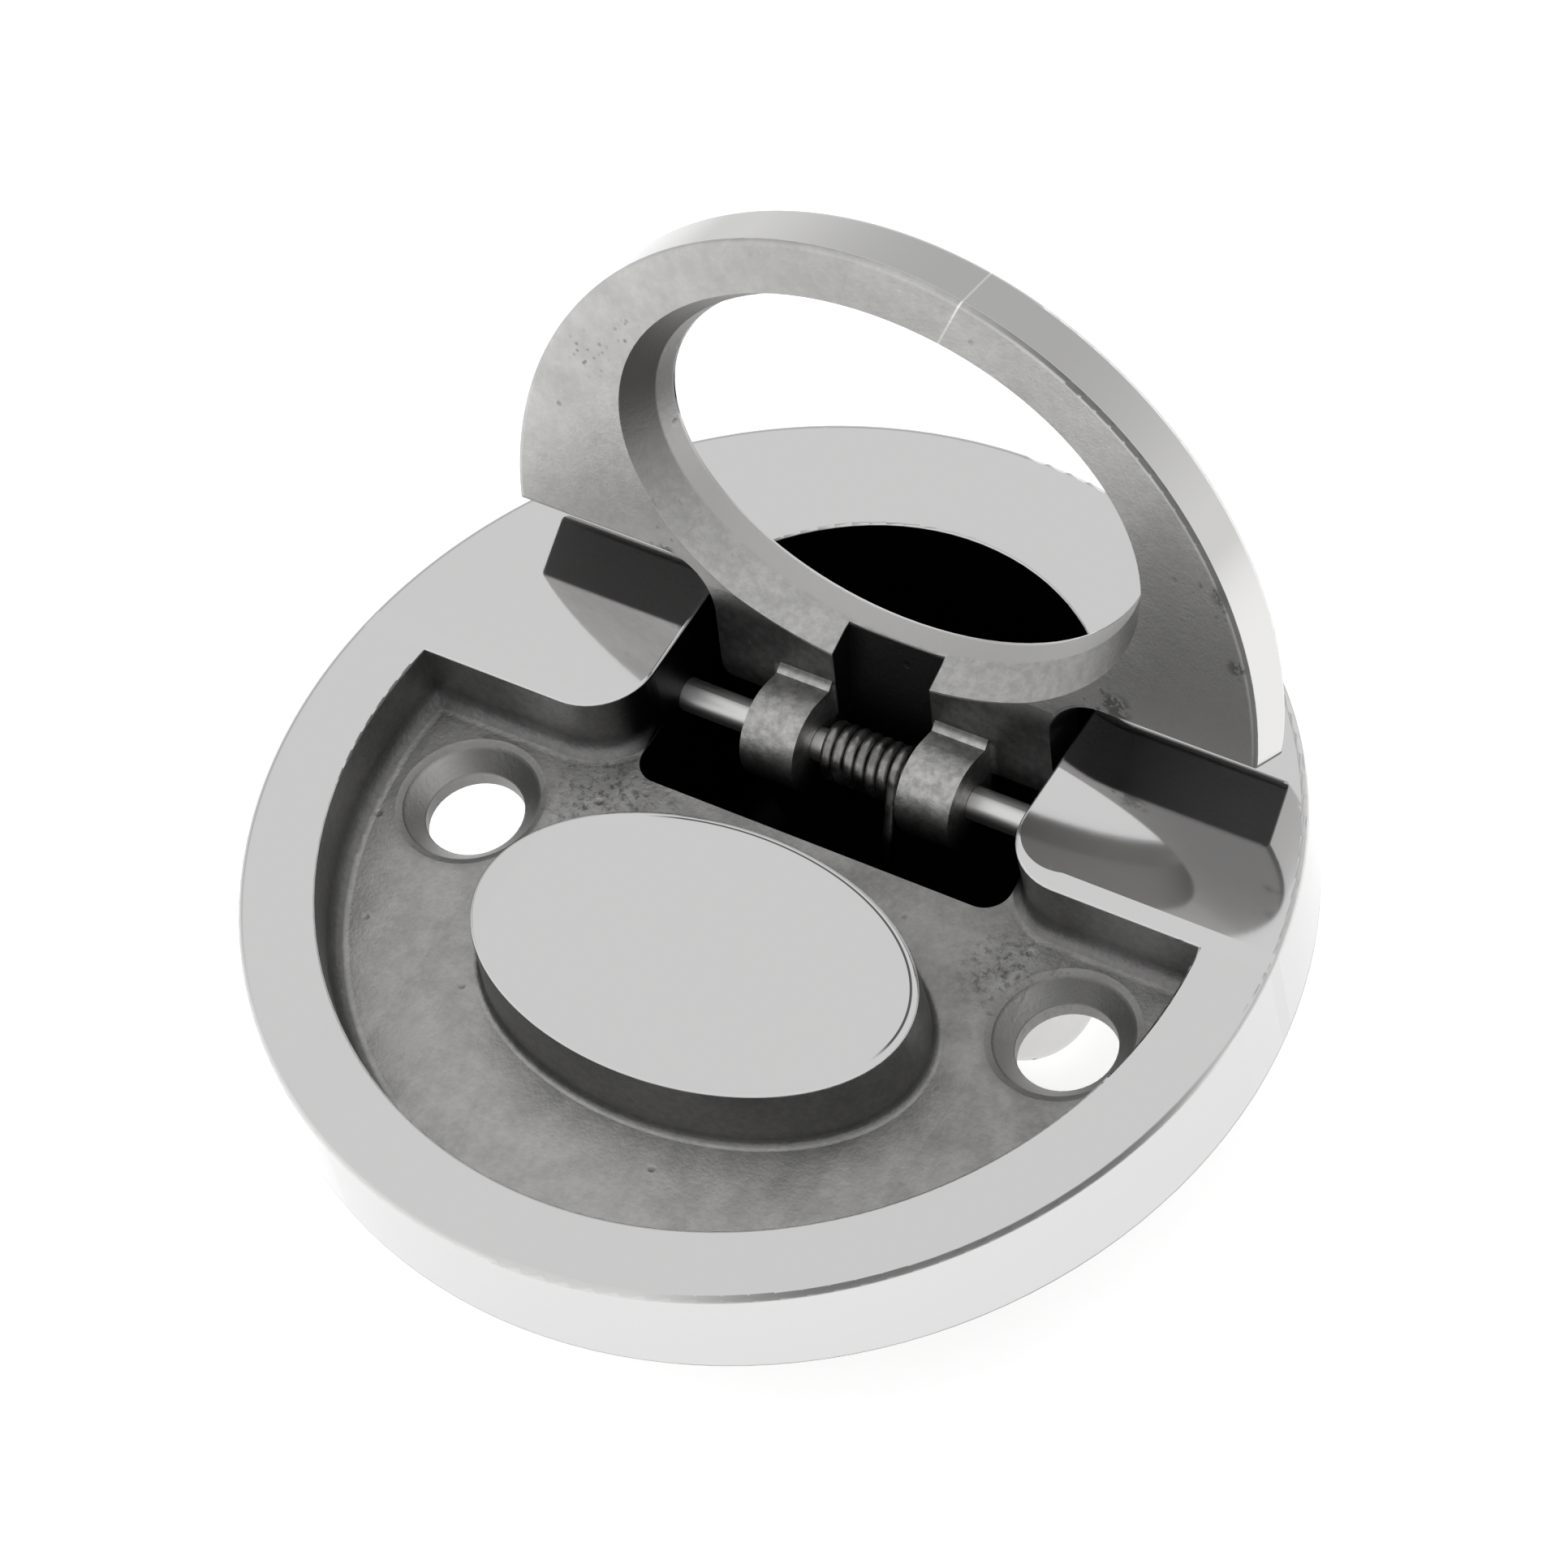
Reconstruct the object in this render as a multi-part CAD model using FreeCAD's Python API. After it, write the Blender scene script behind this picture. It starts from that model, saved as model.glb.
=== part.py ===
"""Flush pull ring: a round cast plate with a ring that folds flat into it.

Lengths are millimetres. The origin is the centre of the plate's flat
underside, which lies on the deck or hatch. X runs along the hinge pin, Y
points to the rear of the plate and Z points up, out of the polished face.
The pull ring is drawn closed and then swung up to the angle it rests at.
"""
import FreeCAD, Part
import math
import os

from FreeCAD import Vector

# Round plate
plate_d = 76.0
plate_t = 8.3
plate_edge_r = 0.5

# Recess in the front half of the plate
recess_wall = 5.6
recess_depth = 5.5
recess_rear_y = 4.6
recess_foot_r = 1.3
ear_tip_r = 5.0
face_edge_r = 0.25

# Oval boss that fills the eye of the closed ring
boss_y = -10.3
boss_half_x = 17.3
boss_half_y = 10.8
boss_draft = 0.35
boss_foot_r = 0.6

# Screw holes, countersunk into the recess floor
screw_hole_d = 7.3
screw_hole_x = 24.7
screw_hole_y = -2.6
countersink_d = 10.2
countersink_depth = 1.6
countersink_lip_w = 0.5
countersink_lip_drop = 0.15

# Well between the ears, and the cup that closes it below the plate
well_half_x = 15.4
well_front_y = 4.3
well_front_lean = 5.0
well_corner_r = 2.0
well_rear_r = 18.6
well_rear_centre_y = 10.75
well_floor_gap = 1.2
well_foot_r = 3.5
cup_wall = 2.6
cup_floor_t = 2.8
cup_corner_r = 5.4
cup_foot_r = 5.0

# Hinge pin
pin_d = 2.5
pin_y = 12.5
pin_depth = 6.0
pin_seat_right = 6.0
pin_rim_set_back = 1.2
pin_end_chamfer = 0.3
pin_play = 0.08

# Pull ring
ring_gap = 1.95
ring_t = 4.6
ring_rear_y = 3.0
ring_rear_lean = 1.7
ring_face_edge_r = 0.6
ring_low_edge_r = 0.4
eye_y = -10.2
eye_half_x = 19.5
eye_half_y = 13.8
eye_lip_t = 1.8
eye_lip_flare = 0.5
eye_flare_x = 1.8
eye_flare_y = 2.2

# Neck, push tab and hinge knuckles, all in one casting with the ring
neck_gap = 1.5
neck_fillet_r = 4.2
neck_pin_gap = 1.0
neck_slope_y = 3.0
neck_end_t = 3.6
neck_corner_r = 1.0
tab_t = 2.0
tab_run_gap = 0.5
tab_corner_r = 1.5
knuckle_r = 3.7
knuckle_inner_x = 4.3
knuckle_w = 4.4
knuckle_heel_depth = 4.5
knuckle_heel_deg = 40.0
pocket_half_x = 4.0

# Torsion spring on the pin, in the pocket between the knuckles
wire_d = 0.9
spring_play = 0.06
coil_gap = 0.04
whole_turns = 6
leg_seat_gap = 0.05
tab_leg_l = 9.0
cup_leg_l = 10.0

# Angle from closed at which the ring stands
open_angle = 105.0

# Small overlap that makes cuts and joins run past a face
past = 1.0

plate_r = plate_d / 2.0
face_z = plate_t
recess_r = plate_r - recess_wall
floor_z = face_z - recess_depth
tab_swing_r = well_rear_centre_y + well_rear_r - pin_y - tab_run_gap
well_floor_z = face_z - pin_depth - tab_swing_r - well_floor_gap
cup_floor_z = well_floor_z - cup_floor_t
pin_r = pin_d / 2.0
pin_z = face_z - pin_depth
ring_r = recess_r - ring_gap
ring_low_z = face_z - ring_t
neck_half_x = well_half_x - neck_gap
tab_low_z = face_z - tab_t
knuckle_bore_r = pin_r + pin_play
wire_r = wire_d / 2.0
coil_r = pin_r + spring_play + wire_r
coil_pitch = wire_d + coil_gap

UP = Vector(0, 0, 1)
ALONG = Vector(1, 0, 0)


def line(start, end):
    """A straight edge between two points."""
    return Part.LineSegment(start, end).toShape()


def arc(start, middle, end):
    """A circular edge through three points."""
    return Part.Arc(start, middle, end).toShape()


def corner_arc(centre, radius, from_deg, to_deg):
    """A circular edge about a centre in the XY plane, angles in degrees."""
    angles = (from_deg, (from_deg + to_deg) / 2.0, to_deg)
    points = []
    for angle in angles:
        turn = math.radians(angle)
        points.append(centre + Vector(radius * math.cos(turn), radius * math.sin(turn), 0))
    return arc(points[0], points[1], points[2])


def prism(edges, height):
    """A solid raised by height from a closed row of edges."""
    face = Part.Face(Part.Wire(Part.__sortEdges__(edges)))
    return face.extrude(Vector(0, 0, height))


def cylinder_along_x(radius, x_start, x_end, y, z):
    """A round bar that lies along X."""
    return Part.makeCylinder(radius, x_end - x_start, Vector(x_start, y, z), ALONG)


def edges_at_height(shape, z):
    """The edges of a shape that lie wholly at one height."""
    found = []
    for edge in shape.Edges:
        box = edge.BoundBox
        if abs(box.ZMin - z) < 1e-4 and abs(box.ZMax - z) < 1e-4:
            found.append(edge)
    return found


def ellipse_wire(half_x, half_y, centre_y, z):
    """A level oval with its long axis along X."""
    oval = Part.Ellipse(Vector(0, centre_y, z), half_x, half_y)
    return Part.Wire(oval.toShape())


def front_corners(block):
    """The two upright edges at the front of a cup block."""
    found = []
    for edge in block.Edges:
        box = edge.BoundBox
        if box.ZLength > block.BoundBox.ZLength / 2.0 and box.YMax < pin_y:
            found.append(edge)
    return found


def cup_block(grow, low_z, high_z, corner_r, foot_r):
    """The well's D shape, grown outwards: leaning front, rounded corners and foot."""
    half_x = well_half_x + grow
    rear_r = well_rear_r + grow
    shoulder_y = well_rear_centre_y + math.sqrt(rear_r ** 2 - half_x ** 2)
    rear_y = well_rear_centre_y + rear_r
    lean = math.tan(math.radians(well_front_lean))
    low_front_y = well_front_y - grow + (floor_z - low_z) * lean
    high_front_y = well_front_y - grow + (floor_z - high_z) * lean
    start_y = min(low_front_y, high_front_y) - past
    plan = [
        line(Vector(-half_x, start_y, low_z), Vector(half_x, start_y, low_z)),
        line(Vector(half_x, start_y, low_z), Vector(half_x, shoulder_y, low_z)),
        arc(
            Vector(half_x, shoulder_y, low_z),
            Vector(0, rear_y, low_z),
            Vector(-half_x, shoulder_y, low_z),
        ),
        line(Vector(-half_x, shoulder_y, low_z), Vector(-half_x, start_y, low_z)),
    ]
    side_x = -half_x - past
    side = Part.makePolygon([
        Vector(side_x, low_front_y, low_z),
        Vector(side_x, rear_y + past, low_z),
        Vector(side_x, rear_y + past, high_z),
        Vector(side_x, high_front_y, high_z),
        Vector(side_x, low_front_y, low_z),
    ])
    side_bar = Part.Face(side).extrude(Vector(2.0 * (half_x + past), 0, 0))
    block = prism(plan, high_z - low_z).common(side_bar)
    if foot_r > corner_r:
        block = block.makeFillet(foot_r, edges_at_height(block, low_z))
        return block.makeFillet(corner_r, front_corners(block))
    block = block.makeFillet(corner_r, front_corners(block))
    return block.makeFillet(foot_r, edges_at_height(block, low_z))


def recess_prism(low_z, height):
    """The sunk front area: a wide arc, the ears' front edges and their tips."""
    ear_x = math.sqrt(recess_r ** 2 - recess_rear_y ** 2)
    tip_x = well_half_x + ear_tip_r
    tip_y = recess_rear_y + ear_tip_r
    back_y = tip_y + past
    edges = [
        arc(
            Vector(-ear_x, recess_rear_y, low_z),
            Vector(0, -recess_r, low_z),
            Vector(ear_x, recess_rear_y, low_z),
        ),
        line(Vector(ear_x, recess_rear_y, low_z), Vector(tip_x, recess_rear_y, low_z)),
        corner_arc(Vector(tip_x, tip_y, low_z), ear_tip_r, -90.0, -180.0),
        line(Vector(well_half_x, tip_y, low_z), Vector(well_half_x, back_y, low_z)),
        line(Vector(well_half_x, back_y, low_z), Vector(-well_half_x, back_y, low_z)),
        line(Vector(-well_half_x, back_y, low_z), Vector(-well_half_x, tip_y, low_z)),
        corner_arc(Vector(-tip_x, tip_y, low_z), ear_tip_r, 0.0, -90.0),
        line(Vector(-tip_x, recess_rear_y, low_z), Vector(-ear_x, recess_rear_y, low_z)),
    ]
    return prism(edges, height)


def make_recess_cutter():
    """What is taken out of the plate's face, with rounded feet round its walls."""
    outer = recess_prism(floor_z, recess_depth + past)
    outer = outer.makeFillet(recess_foot_r, edges_at_height(outer, floor_z))
    foot = ellipse_wire(
        boss_half_x + boss_draft, boss_half_y + boss_draft, boss_y, floor_z - past
    )
    crown = ellipse_wire(boss_half_x, boss_half_y, boss_y, face_z + past)
    core = Part.makeLoft([foot, crown], True, True)
    cutter = outer.cut(core)
    inner_foot = []
    for edge in edges_at_height(cutter, floor_z):
        box = edge.BoundBox
        if box.XLength < 2.0 * (boss_half_x + boss_draft + past) and box.YMax < recess_rear_y:
            if box.YMin > -recess_r + recess_foot_r + past:
                inner_foot.append(edge)
    return cutter.makeFillet(boss_foot_r, inner_foot)


def make_screw_hole(x):
    """One countersunk hole through the recess floor, with a soft lip round its cone."""
    hole_r = screw_hole_d / 2.0
    sink_r = countersink_d / 2.0
    lip_z = floor_z - countersink_lip_drop
    cone_z = floor_z - countersink_depth
    bore = Part.makeCylinder(hole_r, cone_z + 2.0 * past, Vector(x, screw_hole_y, -past))
    cone = Part.makeCone(hole_r, sink_r, lip_z - cone_z, Vector(x, screw_hole_y, cone_z))
    lip = Part.makeCone(
        sink_r, sink_r + countersink_lip_w, countersink_lip_drop, Vector(x, screw_hole_y, lip_z)
    )
    return bore.fuse(cone).fuse(lip)


def make_plate():
    """The one-piece casting: round plate, ears, boss and the cup below."""
    disc = Part.makeCylinder(plate_r, plate_t)
    disc = disc.makeFillet(plate_edge_r, edges_at_height(disc, face_z))
    cup = cup_block(cup_wall, cup_floor_z, plate_t / 2.0, cup_corner_r, cup_foot_r)
    well = cup_block(0.0, well_floor_z, face_z + past, well_corner_r, well_foot_r)
    plate = disc.fuse(cup)
    plate = plate.cut(make_recess_cutter())
    plate = plate.cut(well)
    for side in (-1.0, 1.0):
        plate = plate.cut(make_screw_hole(side * screw_hole_x))
    plate = plate.removeSplitter()
    broken = []
    for edge in edges_at_height(plate, face_z):
        if edge.BoundBox.XLength < 2.0 * (recess_r + past):
            broken.append(edge)
    plate = plate.makeFillet(face_edge_r, broken)
    pin_bore = cylinder_along_x(pin_r, -plate_r - past, well_half_x + pin_seat_right, pin_y, pin_z)
    return plate.cut(pin_bore)


def tab_edge_y(x):
    """How far back the tab may reach at x and still swing down past the well's rear wall."""
    wall = well_rear_centre_y + math.sqrt(well_rear_r ** 2 - x ** 2) - pin_y
    return pin_y + math.sqrt((wall - tab_run_gap) ** 2 - pin_depth ** 2)


def make_neck_and_tab():
    """The neck that carries the ring, thinned behind the pin into the push tab."""
    front_y = boss_y
    side_y = tab_edge_y(neck_half_x)
    edges = [
        line(Vector(-neck_half_x, front_y, tab_low_z), Vector(neck_half_x, front_y, tab_low_z)),
        line(Vector(neck_half_x, front_y, tab_low_z), Vector(neck_half_x, side_y, tab_low_z)),
        arc(
            Vector(neck_half_x, side_y, tab_low_z),
            Vector(0, tab_edge_y(0.0), tab_low_z),
            Vector(-neck_half_x, side_y, tab_low_z),
        ),
        line(Vector(-neck_half_x, side_y, tab_low_z), Vector(-neck_half_x, front_y, tab_low_z)),
    ]
    tab = prism(edges, tab_t)
    corners = []
    for edge in tab.Edges:
        box = edge.BoundBox
        if box.ZLength > tab_t / 2.0 and abs(box.YMax - side_y) < 1e-4:
            corners.append(edge)
    tab = tab.makeFillet(tab_corner_r, corners)
    neck_rear_y = pin_y - neck_pin_gap
    neck = Part.makeBox(
        2.0 * neck_half_x, neck_rear_y - front_y, ring_t, Vector(-neck_half_x, front_y, ring_low_z)
    )
    corners = []
    for edge in neck.Edges:
        box = edge.BoundBox
        if box.ZLength > ring_t / 2.0 and box.YMin > neck_rear_y - 1e-4:
            corners.append(edge)
    return tab.fuse(neck.makeFillet(neck_corner_r, corners))


def make_neck_slope():
    """What is cleared below the neck, which thins from the ring towards the pin."""
    end_y = pin_y - neck_pin_gap
    slope = (ring_t - neck_end_t) / (end_y - neck_slope_y)
    low_z = ring_low_z - past
    outline = Part.makePolygon([
        Vector(-plate_r, neck_slope_y - past / slope, low_z),
        Vector(-plate_r, end_y + past, face_z - neck_end_t + slope * past),
        Vector(-plate_r, end_y + past, low_z),
        Vector(-plate_r, neck_slope_y - past / slope, low_z),
    ])
    return Part.Face(outline).extrude(Vector(plate_d, 0, 0))


def make_wing_cutter(side):
    """What is cleared beside the neck for one ear; it leans forward as it goes down."""
    low_z = ring_low_z - past
    lean = Vector(0, -ring_rear_lean, -ring_t)
    start = Vector(0, ring_rear_lean * past / ring_t, past)
    centre = Vector(neck_half_x + neck_fillet_r, ring_rear_y + neck_fillet_r, face_z)
    far_x = ring_r + past
    far_y = ring_r + past
    edges = [
        line(Vector(centre.x, ring_rear_y, face_z), Vector(far_x, ring_rear_y, face_z)),
        line(Vector(far_x, ring_rear_y, face_z), Vector(far_x, far_y, face_z)),
        line(Vector(far_x, far_y, face_z), Vector(neck_half_x, far_y, face_z)),
        line(Vector(neck_half_x, far_y, face_z), Vector(neck_half_x, centre.y, face_z)),
        corner_arc(centre, neck_fillet_r, 180.0, 270.0),
    ]
    face = Part.Face(Part.Wire(Part.__sortEdges__(edges)))
    face.translate(start)
    cutter = face.extrude(lean * ((face_z + past - low_z) / ring_t))
    if side < 0:
        cutter = cutter.mirror(Vector(0, 0, 0), ALONG)
    return cutter


def make_eye():
    """The ring's oval eye: a thin lip under the face, then a wider flare below."""
    half_x = eye_half_x
    half_y = eye_half_y
    lip_z = face_z - eye_lip_t
    crown = ellipse_wire(half_x, half_y, eye_y, face_z + past)
    top = ellipse_wire(half_x, half_y, eye_y, face_z)
    lip = ellipse_wire(half_x + eye_lip_flare, half_y + eye_lip_flare, eye_y, lip_z)
    low = ellipse_wire(half_x + eye_flare_x, half_y + eye_flare_y, eye_y, ring_low_z)
    foot = ellipse_wire(half_x + eye_flare_x, half_y + eye_flare_y, eye_y, ring_low_z - past)
    upper = Part.makeLoft([crown, top], True, True)
    middle = Part.makeLoft([top, lip], True, True)
    lower = Part.makeLoft([lip, low], True, True)
    end = Part.makeLoft([low, foot], True, True)
    return upper, middle, lower, end


def make_knuckle(side):
    """One knuckle round the pin, with a sloping heel where it leaves the neck."""
    low_x = knuckle_inner_x if side > 0 else -knuckle_inner_x - knuckle_w
    barrel = cylinder_along_x(knuckle_r, low_x, low_x + knuckle_w, pin_y, pin_z)
    root_z = tab_low_z + tab_t / 2.0
    heel_y = pin_y - knuckle_r
    heel_z = face_z - knuckle_heel_depth
    heel_l = (root_z - heel_z) / math.tan(math.radians(knuckle_heel_deg))
    outline = Part.makePolygon([
        Vector(low_x, heel_y - heel_l, root_z),
        Vector(low_x, heel_y, heel_z),
        Vector(low_x, heel_y, pin_z),
        Vector(low_x, pin_y + knuckle_r, pin_z),
        Vector(low_x, pin_y + knuckle_r, root_z),
        Vector(low_x, heel_y - heel_l, root_z),
    ])
    block = Part.Face(outline).extrude(Vector(knuckle_w, 0, 0))
    return barrel.fuse(block)


def outer_edges(shape, z):
    """The ring's outer edges at one height, beyond its eye."""
    reach = eye_half_x + eye_flare_x + past
    found = []
    for edge in edges_at_height(shape, z):
        if max(edge.BoundBox.XMax, -edge.BoundBox.XMin) > reach:
            found.append(edge)
    return found


def neck_land():
    """The flat left on the underside between the eye's flare and the neck's corner."""
    centre = Vector(
        neck_half_x + neck_fillet_r, ring_rear_y - ring_rear_lean + neck_fillet_r, ring_low_z
    )
    corner = corner_arc(centre, neck_fillet_r, 180.0, 270.0)
    flare = ellipse_wire(eye_half_x + eye_flare_x, eye_half_y + eye_flare_y, eye_y, ring_low_z)
    return flare.distToShape(corner)[0]


def make_pull_ring():
    """The pull ring casting, closed: ring, wings, neck, tab and two knuckles."""
    disc = Part.makeCylinder(ring_r, ring_t, Vector(0, 0, ring_low_z))
    rear = Part.makeBox(
        2.0 * plate_r,
        plate_r,
        ring_t + 2.0 * past,
        Vector(-plate_r, neck_fillet_r + ring_rear_y, ring_low_z - past),
    )
    ring = disc.cut(rear)
    ring = ring.fuse(make_neck_and_tab())
    ring = ring.cut(make_neck_slope())
    for side in (-1.0, 1.0):
        ring = ring.cut(make_wing_cutter(side))
    for side in (-1.0, 1.0):
        ring = ring.fuse(make_knuckle(side))
    pocket_l = pin_y + knuckle_r - boss_y
    pocket = Part.makeBox(
        2.0 * pocket_half_x,
        pocket_l,
        tab_low_z - ring_low_z + past,
        Vector(-pocket_half_x, boss_y, ring_low_z - past),
    )
    ring = ring.cut(pocket)
    for piece in make_eye():
        ring = ring.cut(piece)
    bore_x = knuckle_inner_x + knuckle_w + past
    ring = ring.cut(cylinder_along_x(knuckle_bore_r, -bore_x, bore_x, pin_y, pin_z))
    ring = ring.removeSplitter()
    low_edge_r = min(ring_low_edge_r, neck_land() / 2.0)
    ring = ring.makeFillet(low_edge_r, outer_edges(ring, ring_low_z))
    return ring.makeFillet(ring_face_edge_r, outer_edges(ring, face_z))


def make_hinge_pin():
    """The hinge pin, driven in from the left of the rim to a blind seat on the right."""
    left = -math.sqrt(plate_r ** 2 - pin_y ** 2) + pin_rim_set_back
    right = well_half_x + pin_seat_right
    pin = cylinder_along_x(pin_r, left, right, pin_y, pin_z)
    ends = []
    for edge in pin.Edges:
        if edge.BoundBox.XLength < 1e-6:
            ends.append(edge)
    return pin.makeChamfer(pin_end_chamfer, ends)


def leg_angle(leg_l, height):
    """How far a straight leg must tilt to rise from the coil to a height above the pin."""
    reach = math.hypot(leg_l, coil_r)
    return math.degrees(math.asin(height / reach) - math.atan2(coil_r, leg_l))


def make_spring():
    """The torsion spring as it lies with the ring open: close coils and two straight legs."""
    tab_height = pin_depth - tab_t - wire_r - leg_seat_gap
    first_angle = leg_angle(tab_leg_l, tab_height) + 90.0 - open_angle
    lean = math.radians(well_front_lean)
    wall_gap = (pin_y - well_front_y) * math.cos(lean) - (floor_z - pin_z) * math.sin(lean)
    cup_height = wall_gap - wire_r - leg_seat_gap
    last_angle = 180.0 - leg_angle(cup_leg_l, cup_height) + well_front_lean
    turns = whole_turns + (last_angle - first_angle) / 360.0
    coil_l = turns * coil_pitch
    helix = Part.makeHelix(coil_pitch, coil_l, coil_r)
    helix.rotate(Vector(0, 0, 0), UP, first_angle)
    rise = coil_pitch / (2.0 * math.pi)
    ends = []
    for angle, height, way, leg_l in (
        (first_angle, 0.0, -1.0, tab_leg_l),
        (last_angle, coil_l, 1.0, cup_leg_l),
    ):
        turn = math.radians(angle)
        root = Vector(coil_r * math.cos(turn), coil_r * math.sin(turn), height)
        tangent = Vector(-coil_r * math.sin(turn), coil_r * math.cos(turn), rise)
        tangent.normalize()
        ends.append((root, root + tangent * (way * leg_l), tangent))
    path = Part.Wire([line(ends[0][1], ends[0][0])] + helix.Edges + [line(ends[1][0], ends[1][1])])
    profile = Part.Wire(Part.makeCircle(wire_r, ends[0][1], ends[0][2]))
    spring = path.makePipeShell([profile], True, True)
    spring.rotate(Vector(0, 0, 0), Vector(1, 1, 1), 120.0)
    spring.translate(Vector(-coil_l / 2.0, pin_y, pin_z))
    return spring


def swing_up(shape, angle):
    """Turn a closed-ring shape about the hinge pin until it stands open."""
    turned = shape.copy()
    turned.rotate(Vector(0, pin_y, pin_z), ALONG, -angle)
    return turned


def main():
    """Build every piece and write one file for each."""
    os.makedirs("parts", exist_ok=True)
    pieces = {
        "mounting_plate": make_plate(),
        "pull_ring": swing_up(make_pull_ring(), open_angle),
        "hinge_pin": make_hinge_pin(),
        "torsion_spring": make_spring(),
    }
    for name, shape in pieces.items():
        box = shape.BoundBox
        print(name, shape.isValid(), len(shape.Solids), round(shape.Volume, 1),
              [round(v, 2) for v in (box.XMin, box.XMax, box.YMin, box.YMax, box.ZMin, box.ZMax)])
        shape.exportStep(os.path.join("parts", name + ".step"))


main()
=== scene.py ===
"""Studio scene of a flush pull ring: a round cast plate with a ring that folds flat.

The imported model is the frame. Every length in a size field is in millimetres,
and every Blender object is in metres.
"""
import logging
import math
from dataclasses import dataclass, field
from enum import Enum
from typing import Any, Dict, List, Optional, Tuple, Union

import bpy
from mathutils import Matrix, Vector


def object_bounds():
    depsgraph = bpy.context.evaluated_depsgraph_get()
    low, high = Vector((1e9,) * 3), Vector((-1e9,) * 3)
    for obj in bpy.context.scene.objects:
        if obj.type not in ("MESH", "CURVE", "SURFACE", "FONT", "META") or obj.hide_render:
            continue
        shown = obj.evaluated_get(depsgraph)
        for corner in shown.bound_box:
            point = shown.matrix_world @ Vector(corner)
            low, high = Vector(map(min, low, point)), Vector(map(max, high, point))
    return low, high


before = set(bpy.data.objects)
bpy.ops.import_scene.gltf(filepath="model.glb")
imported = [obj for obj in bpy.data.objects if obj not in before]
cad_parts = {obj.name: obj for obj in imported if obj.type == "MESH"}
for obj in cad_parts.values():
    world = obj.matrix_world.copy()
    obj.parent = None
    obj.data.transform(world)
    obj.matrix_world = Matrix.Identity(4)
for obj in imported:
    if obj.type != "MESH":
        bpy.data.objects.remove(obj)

cad_low, cad_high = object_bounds()

logging.basicConfig(level=logging.INFO, format="%(message)s")
report = logging.getLogger("pull_ring")

MM = 0.001
Colour = Tuple[float, float, float]
Number = Union[float, "Value"]


class Value:
    """A number that varies over a surface; arithmetic on it adds Math nodes."""

    def __init__(self, sheet: "Sheet", socket: bpy.types.NodeSocket) -> None:
        """Keep the socket and the sheet it belongs to.

        Args:
            sheet: the material's node sheet.
            socket: the output socket that gives the number.
        """
        self.sheet = sheet
        self.socket = socket

    def _math(self, operation: str, first: Number, second: Number = 0.0) -> "Value":
        """Add one Math node.

        Args:
            operation: Blender's name of the operation.
            first: its first number.
            second: its second number.

        Returns:
            The node's result.
        """
        return self.sheet.node("ShaderNodeMath", {"operation": operation}, {0: first, 1: second})

    def __add__(self, other: Number) -> "Value":
        """Sum."""
        return self._math("ADD", self, other)

    __radd__ = __add__

    def __sub__(self, other: Number) -> "Value":
        """Difference."""
        return self._math("SUBTRACT", self, other)

    def __rsub__(self, other: Number) -> "Value":
        """Difference, with the number first."""
        return self._math("SUBTRACT", other, self)

    def __mul__(self, other: Number) -> "Value":
        """Product."""
        return self._math("MULTIPLY", self, other)

    __rmul__ = __mul__

    def __truediv__(self, other: Number) -> "Value":
        """Quotient."""
        return self._math("DIVIDE", self, other)

    def __rtruediv__(self, other: Number) -> "Value":
        """Quotient, with the number first."""
        return self._math("DIVIDE", other, self)

    def __pow__(self, other: Number) -> "Value":
        """Power."""
        return self._math("POWER", self, other)

    def __abs__(self) -> "Value":
        """The number without its sign."""
        return self._math("ABSOLUTE", self)

    def most(self, other: Number) -> "Value":
        """The larger of two numbers."""
        return self._math("MAXIMUM", self, other)

    def least(self, other: Number) -> "Value":
        """The smaller of two numbers."""
        return self._math("MINIMUM", self, other)

    def step_up(self, low: float, high: float) -> "Value":
        """A smooth step from 0 to 1.

        Args:
            low: where the step starts.
            high: where it ends.

        Returns:
            0 below low, 1 above high, smooth between them.
        """
        return self._step(low, high, 0.0, 1.0)

    def step_down(self, low: float, high: float) -> "Value":
        """A smooth step from 1 to 0.

        Args:
            low: where the step starts.
            high: where it ends.

        Returns:
            1 below low, 0 above high, smooth between them.
        """
        return self._step(low, high, 1.0, 0.0)

    def _step(self, low: float, high: float, first: float, last: float) -> "Value":
        """Add one smooth Map Range node.

        Args:
            low: where the step starts.
            high: where it ends.
            first: the number before the step.
            last: the number after it.

        Returns:
            The node's result.
        """
        settings = {"interpolation_type": "SMOOTHSTEP", "clamp": True}
        ends = {"Value": self, "From Min": low, "From Max": high, "To Min": first, "To Max": last}
        return self.sheet.node("ShaderNodeMapRange", settings, ends)


def length(across: Value, along: Value) -> Value:
    """The length of a flat arrow with these two sides."""
    return (across * across + along * along) ** 0.5


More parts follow.
